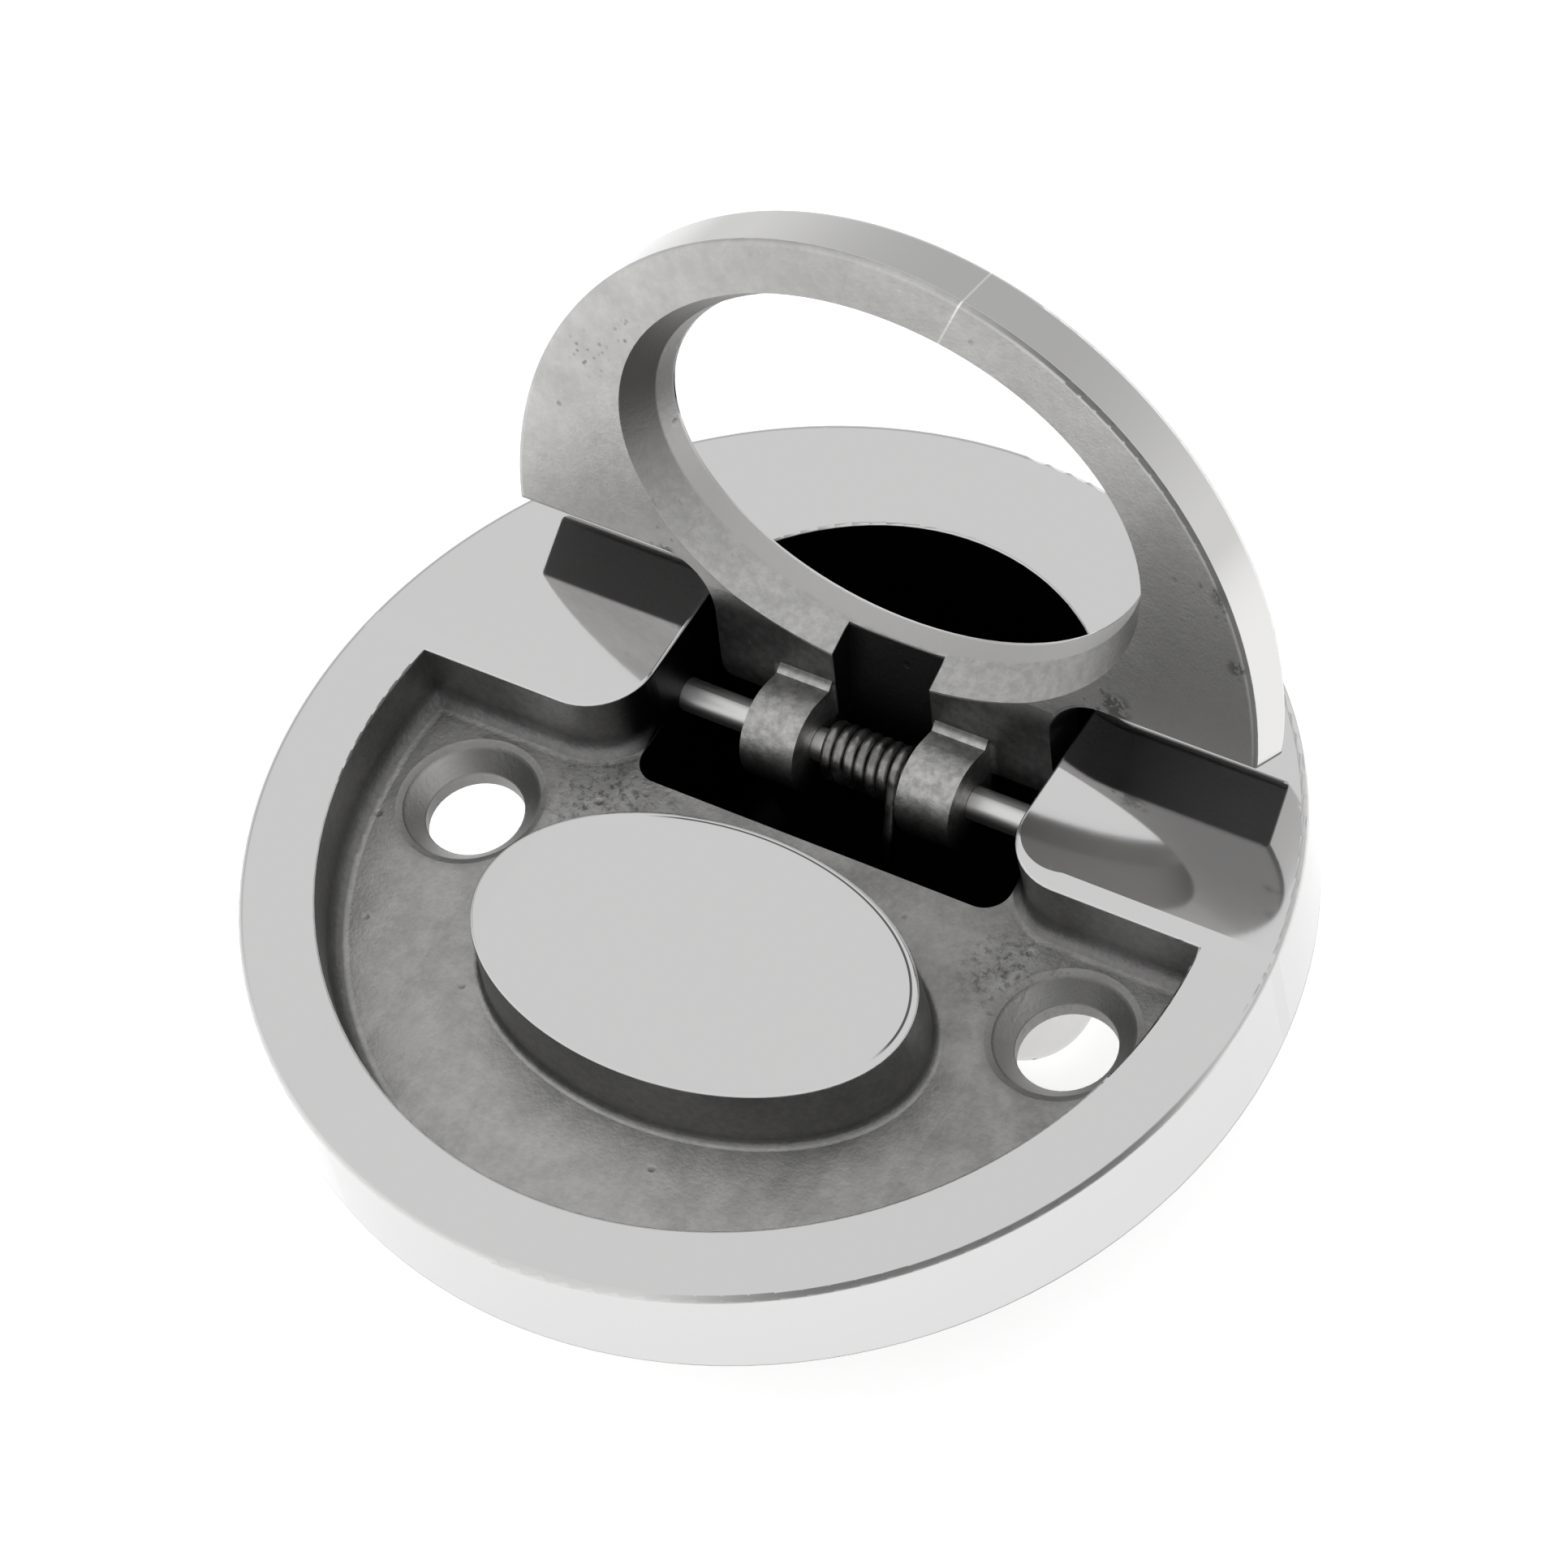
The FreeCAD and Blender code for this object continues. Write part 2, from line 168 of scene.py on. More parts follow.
class Sheet:
    """The node sheet of one material or of the world."""

    def __init__(self, tree: bpy.types.NodeTree) -> None:
        """Start from an empty tree.

        Args:
            tree: the node tree to fill.
        """
        self.tree = tree
        self.tree.nodes.clear()

    def node(
        self,
        kind: str,
        settings: Optional[Dict[str, Any]] = None,
        inputs: Optional[Dict[Union[int, str], Any]] = None,
        output: Union[int, str] = 0,
    ) -> Value:
        """Add a node, set it up and feed its sockets.

        Args:
            kind: Blender's type name of the node.
            settings: its properties, such as an operation.
            inputs: a value or a Value for each socket, by name or index.
            output: which of its outputs to hand back.

        Returns:
            The chosen output.
        """
        made = self.tree.nodes.new(kind)
        for name, setting in (settings or {}).items():
            setattr(made, name, setting)
        for key, given in (inputs or {}).items():
            socket = made.inputs[key]
            if isinstance(given, Value):
                self.tree.links.new(given.socket, socket)
            elif isinstance(given, tuple) and len(given) == 3 and socket.type == "RGBA":
                socket.default_value = (*given, 1.0)
            else:
                socket.default_value = given
        chosen = made.outputs[output] if len(made.outputs) else None
        return Value(self, chosen)

    def blend(self, factor: Number, first: Any, second: Any) -> Value:
        """Mix two colours.

        Args:
            factor: 0 for the first colour, 1 for the second.
            first: a colour or a Value that holds one.
            second: the other colour.

        Returns:
            The mixed colour.
        """
        settings = {"data_type": "RGBA", "blend_type": "MIX"}
        return self.node("ShaderNodeMix", settings, {0: factor, 6: first, 7: second}, 2)

    def lerp(self, factor: Number, first: Number, second: Number) -> Value:
        """Mix two numbers.

        Args:
            factor: 0 for the first number, 1 for the second.
            first: the first number.
            second: the second number.

        Returns:
            The mixed number.
        """
        return self.node("ShaderNodeMix", {"data_type": "FLOAT"}, {0: factor, 2: first, 3: second}, 0)

    def noise(self, place: Value, per_mm: float, detail: float = 3.0, rough: float = 0.55) -> Value:
        """A soft random pattern.

        Args:
            place: the point, in metres.
            per_mm: how many lumps there are in a millimetre.
            detail: how many finer octaves are added.
            rough: how strong the finer octaves are.

        Returns:
            A number around 0.5.
        """
        inputs = {"Vector": place, "Scale": per_mm / MM, "Detail": detail, "Roughness": rough}
        return self.node("ShaderNodeTexNoise", {"noise_dimensions": "3D"}, inputs, 0)

    def cells(self, place: Value, per_mm: float) -> Value:
        """The distance to the nearest of many scattered points.

        Args:
            place: the point, in metres.
            per_mm: how many points there are along a millimetre.

        Returns:
            The distance, in the pattern's own size.
        """
        inputs = {"Vector": place, "Scale": per_mm / MM}
        return self.node("ShaderNodeTexVoronoi", {"feature": "F1"}, inputs, 0)

    def place(self) -> Tuple[Value, Value, Value, Value]:
        """The point on the object, as it was made.

        Returns:
            The point itself, and its X, Y and Z in millimetres.
        """
        point = self.node("ShaderNodeTexCoord", output="Object")
        x, y, z = self.split(point)
        return point, x / MM, y / MM, z / MM

    def split(self, arrow: Value) -> Tuple[Value, Value, Value]:
        """Take a vector apart.

        Args:
            arrow: the vector.

        Returns:
            Its X, Y and Z.
        """
        first = self.node("ShaderNodeSeparateXYZ", None, {0: arrow})
        x, y, z = (Value(self, out) for out in first.socket.node.outputs)
        return x, y, z

    def relief(self, height: Value, strength: float, rise: float, under: Optional[Value] = None) -> Value:
        """Tilt the surface as a height over it would.

        Args:
            height: the height, as a share of the rise.
            strength: how strongly it shows, 0 to 1.
            rise: the height of 1, in millimetres.
            under: the tilted surface that it lies on, if any.

        Returns:
            The tilted surface.
        """
        inputs = {"Strength": strength, "Distance": rise * MM, "Height": height}
        if under is not None:
            inputs["Normal"] = under
        return self.node("ShaderNodeBump", None, inputs)


@dataclass(frozen=True)
class Patch:
    """A soft round patch on a finish: its middle, and where it starts to fade and ends."""

    x: float
    y: float
    full: float
    gone: float

    def mask(self, x: Value, y: Value) -> Value:
        """1 in the middle of the patch, 0 outside it."""
        return length(x - self.x, y - self.y).step_down(self.full, self.gone)


def in_any(patches: Tuple[Patch, ...], x: Value, y: Value) -> Value:
    """Where any of the patches lies.

    Args:
        patches: the patches.
        x: place along the pin, in millimetres.
        y: place towards the rear.

    Returns:
        1 in the middle of a patch, 0 outside all of them.
    """
    found = patches[0].mask(x, y)
    for patch in patches[1:]:
        found = found.most(patch.mask(x, y))
    return found


@dataclass(frozen=True)
class Metal:
    """What the metals here share: how a base layer and its relief become a material."""

    name: str

    def build(self) -> bpy.types.Material:
        """Make the material.

        Returns:
            The new material.
        """
        made = bpy.data.materials.new(self.name)
        made.use_nodes = True
        sheet = Sheet(made.node_tree)
        colour, roughness, normal = self.layers(sheet)
        inputs = {"Base Color": colour, "Metallic": 1.0, "Roughness": roughness}
        if normal is not None:
            inputs["Normal"] = normal
        shader = sheet.node("ShaderNodeBsdfPrincipled", None, inputs)
        sheet.node("ShaderNodeOutputMaterial", None, {"Surface": shader})
        return made

    def layers(self, sheet: Sheet) -> Tuple[Any, Any, Optional[Value]]:
        """Give the colour, roughness and normal.

        Args:
            sheet: the material's node sheet.

        Returns:
            Colour, roughness, and the bumped normal or None.
        """
        raise NotImplementedError

    @staticmethod
    def cast_relief(sheet: Sheet, point: Value) -> Tuple[Value, Value]:
        """The grain of an investment casting: fine grit, and scattered small pits.

        Args:
            sheet: the material's node sheet.
            point: the point, in metres.

        Returns:
            The height of the grain, 0 to 1, and the mask of the pits.
        """
        grit = sheet.noise(point, 3.2, 4.0, 0.62)
        lumps = sheet.noise(point, 0.55, 3.0, 0.5)
        pits = 1.0 - sheet.cells(point, 0.42).step_up(0.05, 0.16)
        chance = sheet.noise(point, 0.16, 2.0, 0.5).step_up(0.52, 0.62)
        pits = pits * chance
        height = grit * 0.55 + lumps * 0.45 - pits * 0.8
        return height, pits


@dataclass(frozen=True)
class PlateFinish(Metal):
    """Mirror polish on the face, boss and rim; cast grain in the recess; painted shade on the recess
    walls, round the screw holes and in the dark well; painted light on the cup.
    """

    polished: Colour = (0.60, 0.595, 0.595)
    cast: Colour = (0.46, 0.455, 0.45)
    cast_dark: Colour = (0.21, 0.207, 0.204)
    # Painted shade: darker copies of the cast colour for the recess walls.
    wall: Colour = (0.24, 0.236, 0.234)
    deep_wall_shade: Colour = (0.15, 0.148, 0.146)
    # Painted light: a light grey for the cup's outside, lifting it out of the shade under the plate.
    cup: Colour = (0.72, 0.715, 0.71)
    edge: Colour = (0.62, 0.615, 0.61)
    # Painted reflection: a dark tone for the rounded face edge towards the front right.
    edge_shade: Colour = (0.02, 0.02, 0.02)
    trace: Colour = (0.04, 0.04, 0.04)
    # Painted shade: near black for the well, which lies in shade.
    well: Colour = (0.006, 0.006, 0.006)
    pitted: Colour = (0.03, 0.03, 0.03)
    speckled: Tuple[Patch, ...] = (
        Patch(-15.5, 1.5, 1.0, 7.5),
        Patch(18.5, 0.5, 0.8, 5.5),
        Patch(22.5, 1.0, 0.5, 3.5),
    )
    plate_r: float = 38.0
    face_z: float = 8.3
    floor_z: float = 2.8
    hole_x: float = 24.7
    hole_y: float = -2.6
    sink_r: float = 5.1
    sink_depth: float = 1.6
    boss_half_x: float = 17.3
    boss_half_y: float = 10.8
    boss_y: float = -10.3
    well_half_x: float = 15.4
    well_rear_r: float = 18.6
    well_centre_y: float = 10.75
    well_front_y: float = 4.3
    well_front_lean: float = 5.0
    well_floor_z: float = -15.25
    ear_y: float = 4.6
    ear_tip_r: float = 5.0
    ear_rear_y: float = 18.0
    ear_fall: float = 0.020
    ear_bevel: float = 1.6
    ear_bevel_slope: float = 0.22
    ear_bevel_taper: float = 0.9
    # Direction in which the painted dark reflection on the face edge lies.
    edge_shade_x: float = 0.79
    edge_shade_y: float = -0.61
    # Direction in which the recess floor grows lighter.
    front_left_ramp_x: float = -0.6
    front_left_ramp_y: float = -1.0
    cloud_size: float = 0.13
    streak_size: float = 0.33
    fleck_size: float = 1.7
    smear_size: float = 0.05
    edge_rough: float = 0.35

    def polish(self, x: Value, y: Value, z: Value) -> Value:
        """Where the plate is polished.

        Args:
            x: place along the pin, in millimetres.
            y: place towards the rear.
            z: height.

        Returns:
            1 on the face, the boss, the ears and the rim, else 0.
        """
        rim = length(x, y).step_up(self.plate_r - 1.5, self.plate_r - 1.2)
        return z.step_up(self.face_z - 0.14, self.face_z - 0.06).most(rim * z.step_up(0.05, 0.15))

    def in_well(self, x: Value, y: Value, z: Value) -> Value:
        """Where the plate faces the well.

        Args:
            x: place along the pin, in millimetres.
            y: place towards the rear.
            z: height.

        Returns:
            1 on the well's walls and floor, else 0.
        """
        wall = length(x, y - self.well_centre_y) - self.well_rear_r
        inside = wall.most(abs(x) - self.well_half_x).step_down(0.05, 0.12)
        below = z.step_down(self.floor_z - 0.12, self.floor_z - 0.04)
        behind = y.step_up(self.well_front_y + 1.5, self.well_front_y + 5.5)
        lean = math.tan(math.radians(self.well_front_lean))
        from_front = y - self.well_front_y - (self.floor_z - z) * lean
        inside = inside * from_front.step_up(-1.4, -1.2)
        return inside * below.most(behind) * z.step_up(self.well_floor_z - 1.0, self.well_floor_z - 0.5)

    def ear_height(self, x: Value, y: Value) -> Value:
        """How the polished ears fall away: a slight slope to the rear, and a rubbed-down front edge.

        Args:
            x: place along the pin, in millimetres.
            y: place towards the rear.

        Returns:
            The height against a flat face, in millimetres.
        """
        past_tip = (self.well_half_x + self.ear_tip_r - abs(x)).most(0.0).least(self.ear_tip_r)
        short = (self.ear_y + self.ear_tip_r - y).most(0.0)
        inside = (self.ear_tip_r - length(past_tip, short)).most(0.0)
        width = self.ear_bevel * (1.0 - past_tip / self.ear_tip_r * self.ear_bevel_taper)
        bevel = (width - inside).most(0.0) * self.ear_bevel_slope
        fall = (y.least(self.ear_rear_y) - self.ear_y).most(0.0) * self.ear_fall
        return (fall + bevel) * -1.0

    def speckle(self, sheet: Sheet, point: Value, x: Value, y: Value) -> Value:
        """Darker specks of metal on the recess floor beside the hinge.

        Args:
            sheet: the material's node sheet.
            point: the point, in metres.
            x: place along the pin, in millimetres.
            y: place towards the rear.

        Returns:
            1 in the dark specks, else 0.
        """
        return in_any(self.speckled, x, y) * sheet.noise(point, 1.5, 5.0, 0.75).step_up(0.46, 0.66)

    def recess(self, sheet: Sheet, point: Value, x: Value, y: Value, z: Value, pits: Value) -> Value:
        """The colour of the cast metal: floor, screw holes, walls, and the cup below, with painted shade
        on the walls and round the screw holes, and painted light on the cup.

        Args:
            sheet: the material's node sheet.
            point: the point, in metres.
            x: place along the pin, in millimetres.
            y: place towards the rear.
            z: height.
            pits: the mask of the scattered pits.

        Returns:
            The colour.
        """
        cloud = sheet.noise(point, self.cloud_size, 3.0, 0.5).step_up(0.35, 0.68)
        fleck = sheet.noise(point, self.fleck_size, 4.0, 0.7).step_up(0.30, 0.72)
        streak = sheet.noise(point, self.streak_size, 4.0, 0.6).step_up(0.36, 0.66)
        # The recess floor grows lighter towards the front left.
        front_left_ramp = (x * self.front_left_ramp_x + y * self.front_left_ramp_y).step_up(-8.0, 34.0)
        light = cloud * 0.3 + streak * 0.25 + fleck * 0.2 + front_left_ramp * 0.45
        grain = sheet.blend(light, self.cast_dark, self.cast)
        specks = self.speckle(sheet, point, x, y) * 0.7
        grain = sheet.blend((pits * 0.3).most(specks), grain, self.pitted)

        # Painted shade round each screw hole; the countersink cone is painted dark on one side and takes
        # the plain cast colour on the other.
        beside = abs(x) - self.hole_x
        hole_shade = length(beside, y - self.hole_y).step_down(self.sink_r - 0.1, self.sink_r + 1.4)
        grain = sheet.blend(hole_shade * 0.7, grain, self.cast_dark)
        cone = z.step_up(self.floor_z - self.sink_depth, self.floor_z - self.sink_depth + 0.1)
        cone = cone * z.step_down(self.floor_z - 0.4, self.floor_z - 0.15)
        cone_lit_side = (beside * (x / self.hole_x) + (y - self.hole_y)).step_down(-4.5, 3.0)
        grain = sheet.blend(hole_shade * cone, grain, sheet.blend(cone_lit_side, self.deep_wall_shade, self.cast))

        # Painted shade: the recess walls are darker copies of the cast colour, going black beside the
        # well.
        wall = sheet.blend(fleck * 0.5 + cloud * 0.5, self.deep_wall_shade, self.wall)
        near_well_shade = abs(x).step_down(15.0, 19.5) * y.step_up(4.7, 7.5)
        wall = sheet.blend(near_well_shade, wall, self.well)
        grain = sheet.blend(z.step_up(self.floor_z + 0.001, self.floor_z + 0.11), grain, wall)
        # Painted light: the cup's outside is coloured lighter than the rest of the cast metal.
        return sheet.blend(z.step_down(-0.4, -0.1), grain, self.cup)

    def layers(self, sheet: Sheet) -> Tuple[Any, Any, Optional[Value]]:
        """Give the plate's colour, roughness and normal.

        Args:
            sheet: the material's node sheet.

        Returns:
            Colour, roughness and bumped normal.
        """
        point, x, y, z = sheet.place()
        polish = self.polish(x, y, z)
        height, pits = self.cast_relief(sheet, point)
        grain = self.recess(sheet, point, x, y, z, pits)
        # Painted shade: the well's walls and floor are painted near black.
        well_shade_mask = self.in_well(x, y, z)
        grain = sheet.blend(well_shade_mask, grain, self.well)
        colour = sheet.blend(polish, grain, self.polished)
        rounded = z.step_down(self.face_z - 0.07, self.face_z - 0.02)
        rounded = rounded * z.step_up(self.face_z - 0.55, self.face_z - 0.35) * polish
        # Painted reflection: the rounded face edge is painted dark towards the front right.
        toward = (x * self.edge_shade_x + y * self.edge_shade_y) / self.plate_r
        edge = sheet.blend(toward.step_up(0.80, 0.97) * 0.75, self.edge, self.edge_shade)
        colour = sheet.blend(rounded, colour, edge)
        across = length(x / self.boss_half_x, (y - self.boss_y) / self.boss_half_y)
        trace = across.step_up(0.9581, 0.9623) * across.step_down(0.9695, 0.9737)
        trace = trace * (x * 0.45 + y).step_up(-6.0, -3.5) * polish
        colour = sheet.blend(trace * 0.9, colour, self.trace)
        cloud = sheet.noise(point, self.cloud_size, 3.0, 0.5).step_up(0.35, 0.68)
        smear = sheet.noise(point, self.smear_size, 3.0, 0.5)
        mirror = sheet.lerp(rounded, smear * 0.05 + 0.03, self.edge_rough)
        roughness = sheet.lerp(polish, sheet.lerp(cloud, 0.42, 0.52), mirror)
        bump = sheet.relief(height * (1.0 - polish) * (1.0 - well_shade_mask * 0.7), 0.55, 0.12)
        return colour, roughness, sheet.relief(self.ear_height(x, y), 1.0, 1.0, bump)


@dataclass(frozen=True)
class RingFinish(Metal):
    """Polished face and rim; cast grain on the underside and in the eye; painted shade on the left of the
    rim, the eye's walls, the wing walls and the dark hinge end.
    """

    polished: Colour = (0.62, 0.615, 0.61)
    # Painted shade: a darker tone for the polished rim on the left.
    rim_shade_left: Colour = (0.42, 0.416, 0.412)
    cast: Colour = (0.58, 0.575, 0.57)
    cast_dark: Colour = (0.37, 0.366, 0.36)
    cast_shade: Colour = (0.15, 0.148, 0.146)
    # Painted shade: a dark line on the rounded lower edge.
    edge_shade_line: Colour = (0.10, 0.10, 0.10)
    # Painted shade: the eye's front and side walls.
    eye_wall_shade: Colour = (0.22, 0.217, 0.213)
    eye_lip: Colour = (0.48, 0.475, 0.47)
    eye_rear: Colour = (0.50, 0.495, 0.49)
    eye_rear_dark: Colour = (0.38, 0.377, 0.373)
    # Painted shade: the eye's front wall.
    eye_front_shade: Colour = (0.27, 0.267, 0.262)
    # Painted shade: dark tones for the underside of the neck.
    neck_shade: Colour = (0.10, 0.10, 0.10)
    neck_shade_light: Colour = (0.16, 0.158, 0.155)
    # Painted shade: near black for the pocket, the knuckles' rear and the tab.
    pocket: Colour = (0.04, 0.04, 0.04)
    knuckle: Colour = (0.50, 0.495, 0.49)
    knuckle_dark: Colour = (0.30, 0.297, 0.293)
    # Painted shade: the wings' hinge-side walls.
    wing_wall_shade: Colour = (0.045, 0.045, 0.045)
    wing_tip_shade: Colour = (0.12, 0.12, 0.12)
    wing_left_shade: Colour = (0.11, 0.108, 0.107)
    mark: Colour = (0.85, 0.845, 0.84)
    pitted: Colour = (0.05, 0.05, 0.05)
    dotted: Tuple[Patch, ...] = (
        Patch(-23.5, -14.0, 0.5, 2.6),
        Patch(-20.0, -17.0, 0.3, 2.0),
        Patch(-18.2, 0.4, 0.3, 1.6),
        Patch(18.5, 0.6, 0.5, 2.8),
        Patch(27.0, -12.3, 0.4, 2.4),
    )
    nicked: Tuple[Patch, ...] = (
        Patch(-17.8, 1.3, 0.3, 0.9),
        Patch(19.4, 0.4, 0.7, 1.6),
        Patch(27.6, -12.6, 0.3, 1.2),
        Patch(28.9, -7.0, 0.3, 1.1),
    )
    open_angle: float = 105.0
    pin_y: float = 12.5
    pin_z: float = 2.3
    pin_depth: float = 6.0
    ring_r: float = 30.45
    thick: float = 4.6
    edge_r: float = 0.4
    eye_y: float = -10.2
    eye_half_x: float = 19.5
    eye_half_y: float = 13.8
    flare_x: float = 1.8
    flare_y: float = 2.2
    lip: float = 1.8
    wing_y: float = 3.0
    wing_lean: float = 1.7
    neck_half_x: float = 13.9
    knuckle_in_x: float = 4.3
    knuckle_out_x: float = 8.7
    pocket_half_x: float = 4.0
    tab_t: float = 2.0
    mark_x: float = 7.0
    mark_y: float = -29.5
    mark_turn: float = 24.15

    def closed_place(self, y: Value, z: Value) -> Tuple[Value, Value]:
        """Where a point lies when the ring is folded flat.

        Args:
            y: place towards the rear with the ring raised, in millimetres.
            z: height with the ring raised.

        Returns:
            Place towards the rear and depth below the face, with the ring closed.
        """
        turn = math.radians(self.open_angle)
        away, up = y - self.pin_y, z - self.pin_z
        rear = away * math.cos(turn) - up * math.sin(turn) + self.pin_y
        depth = self.pin_depth - (away * math.sin(turn) + up * math.cos(turn))
        return rear, depth

    def mark_line(self, x: Value, y: Value) -> Value:
        """A thin bright witness line across the front limb.

        Args:
            x: place along the pin, in millimetres.
            y: place towards the rear with the ring closed.

        Returns:
            1 on the line, else 0.
        """
        turn = math.radians(self.mark_turn)
        off = abs((x - self.mark_x) * math.cos(turn) + (y - self.mark_y) * math.sin(turn))
        line = off.step_down(0.04, 0.11) * y.step_down(-25.5, -24.5) * x.step_up(0.0, 1.0)
        return line * (1.0 - y.step_up(-29.0, -27.0) * 0.5)

    def pit_clusters(self, sheet: Sheet, point: Value, x: Value, y: Value) -> Value:
        """Groups of small pits and ragged nicks on the underside.

        Args:
            sheet: the material's node sheet.
            point: the point, in metres.
            x: place along the pin, in millimetres.
            y: place towards the rear with the ring closed.

        Returns:
            1 in a pit, else 0.
        """
        dots = in_any(self.dotted, x, y) * sheet.cells(point, 1.5).step_down(0.16, 0.34)
        ragged = sheet.noise(point, 1.4, 3.0, 0.7).step_up(0.42, 0.52)
        return dots.most(in_any(self.nicked, x, y) * ragged)

    def underside(self, sheet: Sheet, point: Value, x: Value, y: Value, pits: Value) -> Value:
        """The colour of the cast underside.

        Args:
            sheet: the material's node sheet.
            point: the point, in metres.
            x: place along the pin, in millimetres.
            y: place towards the rear with the ring closed.
            pits: the mask of the scattered pits.

        Returns:
            The colour.
        """
        cloud = sheet.noise(point, 0.11, 3.0, 0.5).step_up(0.34, 0.68)
        fleck = sheet.noise(point, 1.1, 4.0, 0.66).step_up(0.28, 0.74)
        shade = x.step_up(12.0, 24.0) * y.step_up(-26.0, -6.0)
        bright = cloud * 0.4 + fleck * 0.3 + 0.25 - shade * 0.7
        grain = sheet.blend(bright, self.cast_dark, self.cast)
        grain = sheet.blend(shade * 0.6, grain, self.cast_shade)
        pits = (pits * 0.5).most(self.pit_clusters(sheet, point, x, y) * 0.65)
        return sheet.blend(pits, grain, self.pitted)

    def eye(self, sheet: Sheet, y: Value, depth: Value, fleck: Value) -> Value:
        """The colour of the eye's wall, flare and lip, with painted shade on the front and side walls.

        Args:
            sheet: the material's node sheet.
            y: place towards the rear with the ring closed.
            depth: depth below the polished face with the ring closed.
            fleck: the mask of the fine grain.

        Returns:
            The colour.
        """
        rear_wall = sheet.blend(fleck, self.eye_rear_dark, self.eye_rear)
        # Painted shade: the front and side walls are painted dark, and only the rear wall keeps a cast
        # tone.
        wall = sheet.blend(y.step_up(-9.0, 4.0), self.eye_wall_shade, rear_wall)
        wall = sheet.blend(depth.step_down(self.lip - 0.15, self.lip + 0.1), wall, self.eye_lip)
        return sheet.blend(y.step_down(-21.0, -15.0), wall, self.eye_front_shade)

    def hinge_end(
        self, sheet: Sheet, side: Value, y: Value, depth: Value, fleck: Value, grain: Value
    ) -> Value:
        """Colour the pocket, the knuckles and the tab, with painted shade in the pocket, on the knuckles'
        rear and on the tab.

        Args:
            sheet: the material's node sheet.
            side: distance from the middle along the pin.
            y: place towards the rear with the ring closed.
            depth: depth below the polished face with the ring closed.
            fleck: the mask of the fine grain.
            grain: the colour of what lies around them.

        Returns:
            The colour.
        """
        # Painted shade: the pocket is painted near black.
        pocket = side.step_down(self.pocket_half_x + 0.02, self.pocket_half_x + 0.1)
        pocket = pocket * y.step_up(3.9, 4.3) * depth.step_up(self.tab_t - 0.16, self.tab_t - 0.06)
        grain = sheet.blend(pocket, grain, self.pocket)
        below = depth.step_up(3.4, 3.8)
        barrel = side.step_up(self.knuckle_in_x - 0.3, self.knuckle_in_x - 0.1) * y.step_up(8.3, 8.7)
        barrel = barrel * below * side.step_down(self.knuckle_out_x + 0.2, self.knuckle_out_x + 0.7)
        lump = sheet.blend(fleck, self.knuckle_dark, self.knuckle)
        # Painted shade: the knuckles go near black towards the rear.
        lump = sheet.blend(y.step_up(11.0, 15.2), lump, self.pocket)
        grain = sheet.blend(barrel, grain, lump)
        # Painted shade: the tab is painted near black.
        tab = y.step_up(self.pin_y - 0.9, self.pin_y) * (1.0 - below) * depth.step_up(0.10, 0.25)
        return sheet.blend(tab, grain, self.pocket)

    def layers(self, sheet: Sheet) -> Tuple[Any, Any, Optional[Value]]:
        """Give the ring's colour, roughness and normal.

        Args:
            sheet: the material's node sheet.

        Returns:
            Colour, roughness and bumped normal.
        """
        point, x, raised_y, z = sheet.place()
        y, depth = self.closed_place(raised_y, z)
        side = abs(x)
        rim = length(x, y).step_up(self.ring_r - 0.5, self.ring_r - 0.4)
        low_edge_depth = self.thick - self.edge_r
        low_edge = depth.step_up(low_edge_depth - 0.05, low_edge_depth + 0.05)
        past_wing = y - (self.wing_y - depth * (self.wing_lean / self.thick))
        wing = past_wing.step_up(-0.30, -0.15) * side.step_up(self.neck_half_x, self.neck_half_x + 0.1)
        wing = wing * depth.step_down(self.thick - 0.25, self.thick - 0.05)
        polish = depth.step_down(0.10, 0.25).most(rim * (1.0 - low_edge))
        polish = polish * (1.0 - wing * depth.step_up(0.0, 0.05))

        height, pits = self.cast_relief(sheet, point)
        grain = self.underside(sheet, point, x, y, pits)
        rounded = low_edge * depth.step_down(self.thick - 0.12, self.thick - 0.03)
        # Painted shade: a dark line on the rounded lower edge, on the right.
        grain = sheet.blend(rounded * rim * x.step_up(4.0, 17.0) * 0.85, grain, self.edge_shade_line)
        wide, high = self.eye_half_x + self.flare_x, self.eye_half_y + self.flare_y
        oval = length(x / wide, (y - self.eye_y) / high)
        in_eye = oval.step_down(0.998, 1.004) * depth.step_down(self.thick - 0.06, self.thick)
        # Painted shade: the underside of the neck is painted dark.
        neck_shade = y.step_up(self.wing_y - 0.5, self.wing_y + 2.0) * side.step_down(17.0, 19.0)
        fleck = sheet.noise(point, 1.3, 4.0, 0.66).step_up(0.30, 0.72)
        shaded_neck = sheet.blend(fleck, self.neck_shade, self.neck_shade_light)
        grain = sheet.blend(neck_shade * (1.0 - in_eye), grain, shaded_neck)
        grain = sheet.blend(in_eye, grain, self.eye(sheet, y, depth, fleck))

        # Painted shade: the wings' hinge-side walls are painted near black, a little lighter at the outer
        # ends and on the left.
        right_wing_shade = sheet.blend(side.step_up(14.0, 29.0), self.wing_wall_shade, self.wing_tip_shade)
        wing_wall_shade = sheet.blend(x.step_up(-1.0, 1.0), self.wing_left_shade, right_wing_shade)
        grain = sheet.blend(wing * (1.0 - in_eye), grain, wing_wall_shade)
        grain = self.hinge_end(sheet, side, y, depth, fleck, grain)
        # Painted shade: the polished rim is painted darker on the left.
        rim_with_shade = sheet.blend(x.step_up(-29.0, -6.0), self.rim_shade_left, self.polished)
        colour = sheet.blend(polish, grain, rim_with_shade)
        colour = sheet.blend(self.mark_line(x, y), colour, self.mark)
        return colour, sheet.lerp(polish, 0.44, 0.10), sheet.relief(height * (1.0 - polish), 0.5, 0.10)


